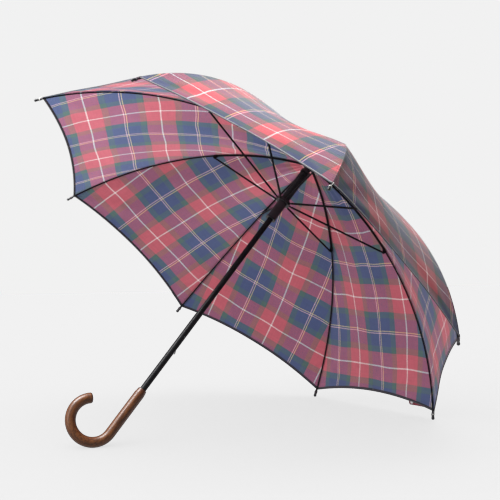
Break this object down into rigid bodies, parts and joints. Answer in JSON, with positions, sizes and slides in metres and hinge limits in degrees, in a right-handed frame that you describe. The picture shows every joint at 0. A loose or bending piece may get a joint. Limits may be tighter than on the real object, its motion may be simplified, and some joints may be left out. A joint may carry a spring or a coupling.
{
  "type": "stick umbrella",
  "caption": "Open stick umbrella with a plaid canopy, black ribs and shaft, spring-assisted runner and a polished wooden crook handle.",
  "frame": {"origin": "centre of the handle's straight grip, on the shaft's axis", "axes": "+Z along the shaft toward the spike; +X toward the side that the crook bends to; +Y completes the right-handed frame"},
  "size_m": [1.0694, 1.0694, 0.8521],
  "materials": {
    "black_paint": "gloss black enamel on steel tube",
    "rib_paint": "semi-gloss black on spring steel",
    "brown_wood": "polished lacquered wood",
    "black_plastic": "moulded, gloss",
    "bright_wire": "bright steel",
    "spring_steel": "black coated spring wire",
    "plaid_fabric": "thin woven plaid in red, navy, green and white, slightly translucent",
    "red_fabric": "dark red woven strap"
  },
  "bodies": {
    "frame": {"shaft": "black_paint", "handle": "brown_wood", "top_notch": "black_plastic", "notch_wire": "bright_wire", "canopy_cap": "black_plastic", "spike": "black_plastic", "spring_collar": "black_plastic", "opening_spring": "spring_steel", "catch_pin": "bright_wire", "gore_1": "plaid_fabric", "gore_2": "plaid_fabric", "gore_3": "plaid_fabric", "gore_4": "plaid_fabric", "gore_5": "plaid_fabric", "gore_6": "plaid_fabric", "gore_7": "plaid_fabric", "gore_8": "plaid_fabric"},
    "runner": {"runner": "black_plastic", "runner_wire": "bright_wire"},
    "catch": {"bottom_catch": "bright_wire"},
    "rib_1_inner": {"rib_1_inner": "rib_paint"},
    "rib_1_outer": {"rib_1_outer": "rib_paint", "rib_1_tip": "black_plastic"},
    "stretcher_1": {"stretcher_1": "rib_paint"},
    "rib_2_inner": {"rib_2_inner": "rib_paint"},
    "rib_2_outer": {"rib_2_outer": "rib_paint", "rib_2_tip": "black_plastic"},
    "stretcher_2": {"stretcher_2": "rib_paint"},
    "rib_3_inner": {"rib_3_inner": "rib_paint"},
    "rib_3_outer": {"rib_3_outer": "rib_paint", "rib_3_tip": "black_plastic"},
    "stretcher_3": {"stretcher_3": "rib_paint"},
    "rib_4_inner": {"rib_4_inner": "rib_paint"},
    "rib_4_outer": {"rib_4_outer": "rib_paint", "rib_4_tip": "black_plastic"},
    "stretcher_4": {"stretcher_4": "rib_paint"},
    "rib_5_inner": {"rib_5_inner": "rib_paint"},
    "rib_5_outer": {"rib_5_outer": "rib_paint", "rib_5_tip": "black_plastic", "closure_strap": "red_fabric", "strap_snap": "bright_wire"},
    "stretcher_5": {"stretcher_5": "rib_paint"},
    "rib_6_inner": {"rib_6_inner": "rib_paint"},
    "rib_6_outer": {"rib_6_outer": "rib_paint", "rib_6_tip": "black_plastic"},
    "stretcher_6": {"stretcher_6": "rib_paint"},
    "rib_7_inner": {"rib_7_inner": "rib_paint"},
    "rib_7_outer": {"rib_7_outer": "rib_paint", "rib_7_tip": "black_plastic"},
    "stretcher_7": {"stretcher_7": "rib_paint"},
    "rib_8_inner": {"rib_8_inner": "rib_paint"},
    "rib_8_outer": {"rib_8_outer": "rib_paint", "rib_8_tip": "black_plastic"},
    "stretcher_8": {"stretcher_8": "rib_paint"}
  },
  "joints": [
    {"name": "runner_slide", "type": "slide", "parent": "frame", "child": "runner", "axis": [0, 0, -1], "range_m": [0, 0.3664], "stiffness_N_per_m": 68, "springref_m": -0.176, "deforming": ["opening_spring", "bottom_catch", "closure_strap", "strap_snap", "gore_1", "gore_2", "gore_3", "gore_4", "gore_5", "gore_6", "gore_7", "gore_8"]},
    {"name": "catch_press", "type": "hinge", "parent": "frame", "child": "catch", "pos_m": [-0.0032, 0, 0.1856], "axis": [0, -1, 0], "range_deg": [0, 4.2], "stiffness_Nm_per_rad": 0.06, "springref_deg": -9.74},
    {"name": "rib_1_fold", "type": "hinge", "parent": "frame", "child": "rib_1_inner", "pos_m": [0.01, 0, 0.664], "axis": [0, 1, 0], "range_deg": [0, 75.01]},
    {"name": "rib_1_flex", "type": "hinge", "parent": "rib_1_inner", "child": "rib_1_outer", "pos_m": [0.24424, 0, 0.61868], "axis": [0, 1, 0], "range_deg": [-22.31, 0]},
    {"name": "stretcher_1_swing", "type": "hinge", "parent": "rib_1_inner", "child": "stretcher_1", "pos_m": [0.24237, 0, 0.61404], "axis": [0, 1, 0], "range_deg": [-149.3, 0]},
    {"name": "rib_2_fold", "type": "hinge", "parent": "frame", "child": "rib_2_inner", "pos_m": [0.00707, 0.00707, 0.664], "axis": [-0.7071, 0.7071, 0], "range_deg": [0, 75.01]},
    {"name": "rib_2_flex", "type": "hinge", "parent": "rib_2_inner", "child": "rib_2_outer", "pos_m": [0.1727, 0.1727, 0.61868], "axis": [-0.7071, 0.7071, 0], "range_deg": [-22.31, 0]},
    {"name": "stretcher_2_swing", "type": "hinge", "parent": "rib_2_inner", "child": "stretcher_2", "pos_m": [0.17138, 0.17138, 0.61404], "axis": [-0.7071, 0.7071, 0], "range_deg": [-149.3, 0]},
    {"name": "rib_3_fold", "type": "hinge", "parent": "frame", "child": "rib_3_inner", "pos_m": [0, 0.01, 0.664], "axis": [-1, 0, 0], "range_deg": [0, 75.01]},
    {"name": "rib_3_flex", "type": "hinge", "parent": "rib_3_inner", "child": "rib_3_outer", "pos_m": [0, 0.24424, 0.61868], "axis": [-1, 0, 0], "range_deg": [-22.31, 0]},
    {"name": "stretcher_3_swing", "type": "hinge", "parent": "rib_3_inner", "child": "stretcher_3", "pos_m": [0, 0.24237, 0.61404], "axis": [-1, 0, 0], "range_deg": [-149.3, 0]},
    {"name": "rib_4_fold", "type": "hinge", "parent": "frame", "child": "rib_4_inner", "pos_m": [-0.00707, 0.00707, 0.664], "axis": [-0.7071, -0.7071, 0], "range_deg": [0, 75.01]},
    {"name": "rib_4_flex", "type": "hinge", "parent": "rib_4_inner", "child": "rib_4_outer", "pos_m": [-0.1727, 0.1727, 0.61868], "axis": [-0.7071, -0.7071, 0], "range_deg": [-22.31, 0]},
    {"name": "stretcher_4_swing", "type": "hinge", "parent": "rib_4_inner", "child": "stretcher_4", "pos_m": [-0.17138, 0.17138, 0.61404], "axis": [-0.7071, -0.7071, 0], "range_deg": [-149.3, 0]},
    {"name": "rib_5_fold", "type": "hinge", "parent": "frame", "child": "rib_5_inner", "pos_m": [-0.01, 0, 0.664], "axis": [0, -1, 0], "range_deg": [0, 75.01]},
    {"name": "rib_5_flex", "type": "hinge", "parent": "rib_5_inner", "child": "rib_5_outer", "pos_m": [-0.24424, 0, 0.61868], "axis": [0, -1, 0], "range_deg": [-22.31, 0]},
    {"name": "stretcher_5_swing", "type": "hinge", "parent": "rib_5_inner", "child": "stretcher_5", "pos_m": [-0.24237, 0, 0.61404], "axis": [0, -1, 0], "range_deg": [-149.3, 0]},
    {"name": "rib_6_fold", "type": "hinge", "parent": "frame", "child": "rib_6_inner", "pos_m": [-0.00707, -0.00707, 0.664], "axis": [0.7071, -0.7071, 0], "range_deg": [0, 75.01]},
    {"name": "rib_6_flex", "type": "hinge", "parent": "rib_6_inner", "child": "rib_6_outer", "pos_m": [-0.1727, -0.1727, 0.61868], "axis": [0.7071, -0.7071, 0], "range_deg": [-22.31, 0]},
    {"name": "stretcher_6_swing", "type": "hinge", "parent": "rib_6_inner", "child": "stretcher_6", "pos_m": [-0.17138, -0.17138, 0.61404], "axis": [0.7071, -0.7071, 0], "range_deg": [-149.3, 0]},
    {"name": "rib_7_fold", "type": "hinge", "parent": "frame", "child": "rib_7_inner", "pos_m": [0, -0.01, 0.664], "axis": [1, 0, 0], "range_deg": [0, 75.01]},
    {"name": "rib_7_flex", "type": "hinge", "parent": "rib_7_inner", "child": "rib_7_outer", "pos_m": [0, -0.24424, 0.61868], "axis": [1, 0, 0], "range_deg": [-22.31, 0]},
    {"name": "stretcher_7_swing", "type": "hinge", "parent": "rib_7_inner", "child": "stretcher_7", "pos_m": [0, -0.24237, 0.61404], "axis": [1, 0, 0], "range_deg": [-149.3, 0]},
    {"name": "rib_8_fold", "type": "hinge", "parent": "frame", "child": "rib_8_inner", "pos_m": [0.00707, -0.00707, 0.664], "axis": [0.7071, 0.7071, 0], "range_deg": [0, 75.01]},
    {"name": "rib_8_flex", "type": "hinge", "parent": "rib_8_inner", "child": "rib_8_outer", "pos_m": [0.1727, -0.1727, 0.61868], "axis": [0.7071, 0.7071, 0], "range_deg": [-22.31, 0]},
    {"name": "stretcher_8_swing", "type": "hinge", "parent": "rib_8_inner", "child": "stretcher_8", "pos_m": [0.17138, -0.17138, 0.61404], "axis": [0.7071, 0.7071, 0], "range_deg": [-149.3, 0]}
  ],
  "couplings": [
    {"joint": "rib_1_fold", "follows": "runner_slide", "rad_per_m": 3.5726},
    {"joint": "rib_1_flex", "follows": "runner_slide", "rad_per_m": -1.0622},
    {"joint": "stretcher_1_swing", "follows": "runner_slide", "rad_per_m": -7.1114},
    {"joint": "rib_2_fold", "follows": "runner_slide", "rad_per_m": 3.5726},
    {"joint": "rib_2_flex", "follows": "runner_slide", "rad_per_m": -1.0622},
    {"joint": "stretcher_2_swing", "follows": "runner_slide", "rad_per_m": -7.1114},
    {"joint": "rib_3_fold", "follows": "runner_slide", "rad_per_m": 3.5726},
    {"joint": "rib_3_flex", "follows": "runner_slide", "rad_per_m": -1.0622},
    {"joint": "stretcher_3_swing", "follows": "runner_slide", "rad_per_m": -7.1114},
    {"joint": "rib_4_fold", "follows": "runner_slide", "rad_per_m": 3.5726},
    {"joint": "rib_4_flex", "follows": "runner_slide", "rad_per_m": -1.0622},
    {"joint": "stretcher_4_swing", "follows": "runner_slide", "rad_per_m": -7.1114},
    {"joint": "rib_5_fold", "follows": "runner_slide", "rad_per_m": 3.5726},
    {"joint": "rib_5_flex", "follows": "runner_slide", "rad_per_m": -1.0622},
    {"joint": "stretcher_5_swing", "follows": "runner_slide", "rad_per_m": -7.1114},
    {"joint": "rib_6_fold", "follows": "runner_slide", "rad_per_m": 3.5726},
    {"joint": "rib_6_flex", "follows": "runner_slide", "rad_per_m": -1.0622},
    {"joint": "stretcher_6_swing", "follows": "runner_slide", "rad_per_m": -7.1114},
    {"joint": "rib_7_fold", "follows": "runner_slide", "rad_per_m": 3.5726},
    {"joint": "rib_7_flex", "follows": "runner_slide", "rad_per_m": -1.0622},
    {"joint": "stretcher_7_swing", "follows": "runner_slide", "rad_per_m": -7.1114},
    {"joint": "rib_8_fold", "follows": "runner_slide", "rad_per_m": 3.5726},
    {"joint": "rib_8_flex", "follows": "runner_slide", "rad_per_m": -1.0622},
    {"joint": "stretcher_8_swing", "follows": "runner_slide", "rad_per_m": -7.1114}
  ]
}
